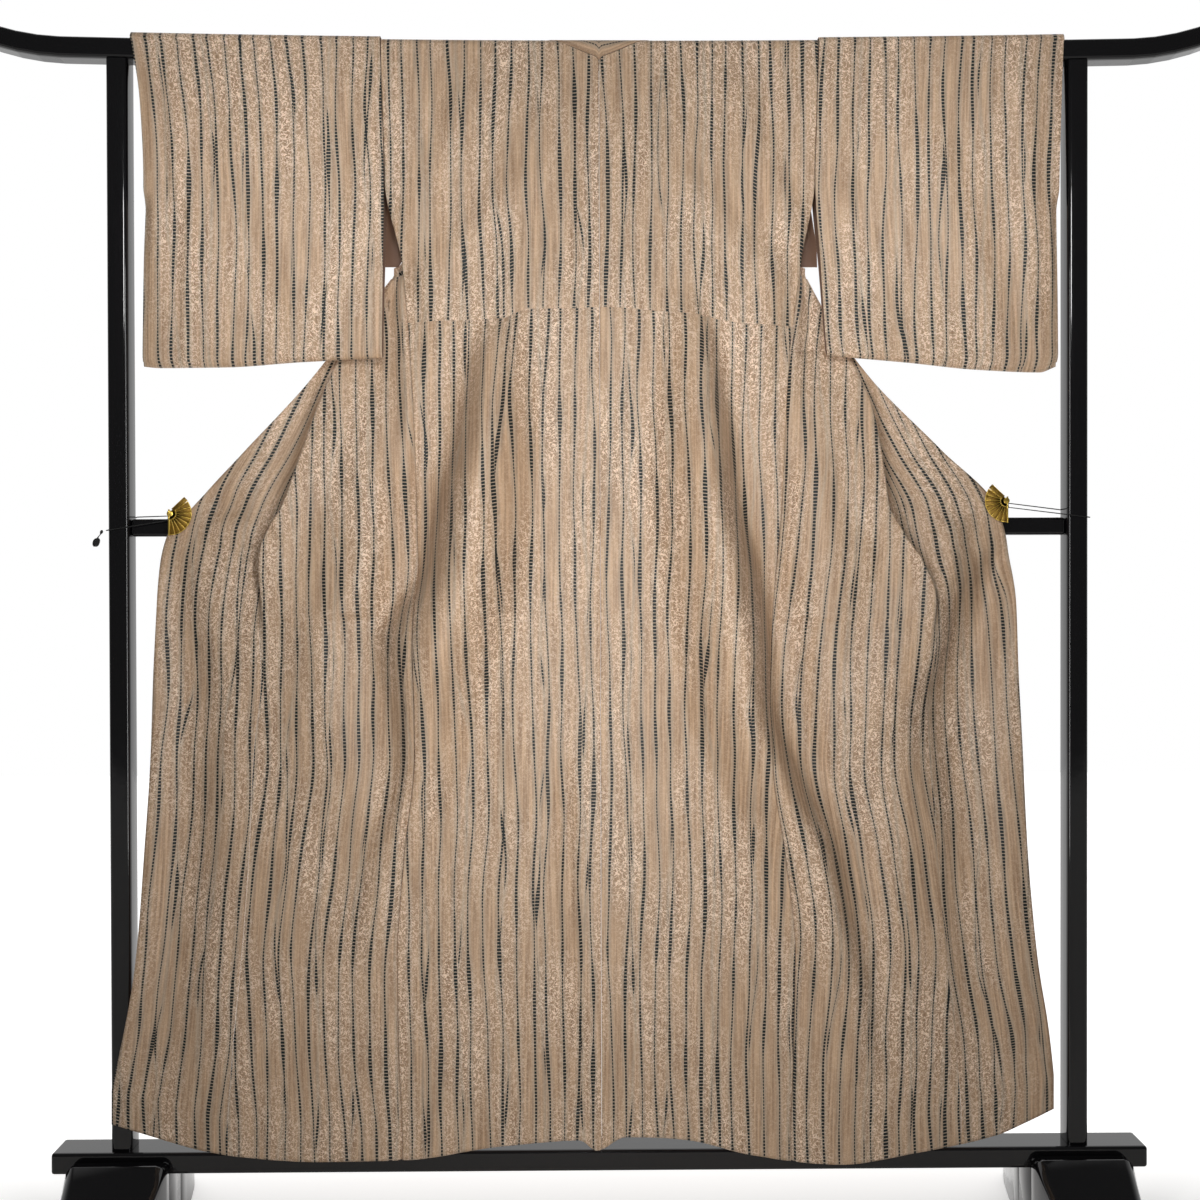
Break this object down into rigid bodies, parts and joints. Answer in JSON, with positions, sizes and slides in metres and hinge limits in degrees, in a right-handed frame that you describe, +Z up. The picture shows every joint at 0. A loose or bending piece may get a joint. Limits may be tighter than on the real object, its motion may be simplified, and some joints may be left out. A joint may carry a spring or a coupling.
{
  "type": "silk kimono on a display stand",
  "caption": "Lined silk kimono with woven wavy stripes, hung open over the bar of a black lacquered stand, its front edges held out by fan-shaped clips.",
  "frame": {"origin": "on the floor under the middle of the stand", "axes": "+X along the top bar, +Y from the kimono's back through to its open front, +Z up"},
  "size_m": [1.84, 0.4, 1.7435],
  "materials": {
    "silk": "soft silk sheen, peach-tan ground with dark teal woven stripes",
    "lacquer": "black gloss lacquer",
    "gilt_brass": "polished gilt",
    "elastic_cord": "matt black"
  },
  "bodies": {
    "root": {"body_left": "silk", "body_right": "silk", "front_left": "silk", "front_right": "silk", "overlap_left": "silk", "overlap_right": "silk", "sleeve_left": "silk", "sleeve_right": "silk", "collar": "silk", "top_bar": "lacquer", "post_left": "lacquer", "post_right": "lacquer", "foot_left": "lacquer", "foot_right": "lacquer", "mid_rail": "lacquer", "base_beam": "lacquer", "clip_left": "gilt_brass", "clip_right": "gilt_brass", "fan_left": "gilt_brass", "fan_right": "gilt_brass", "cord_left": "elastic_cord", "cord_right": "elastic_cord", "cord_stop": "elastic_cord"}
  },
  "joints": []
}
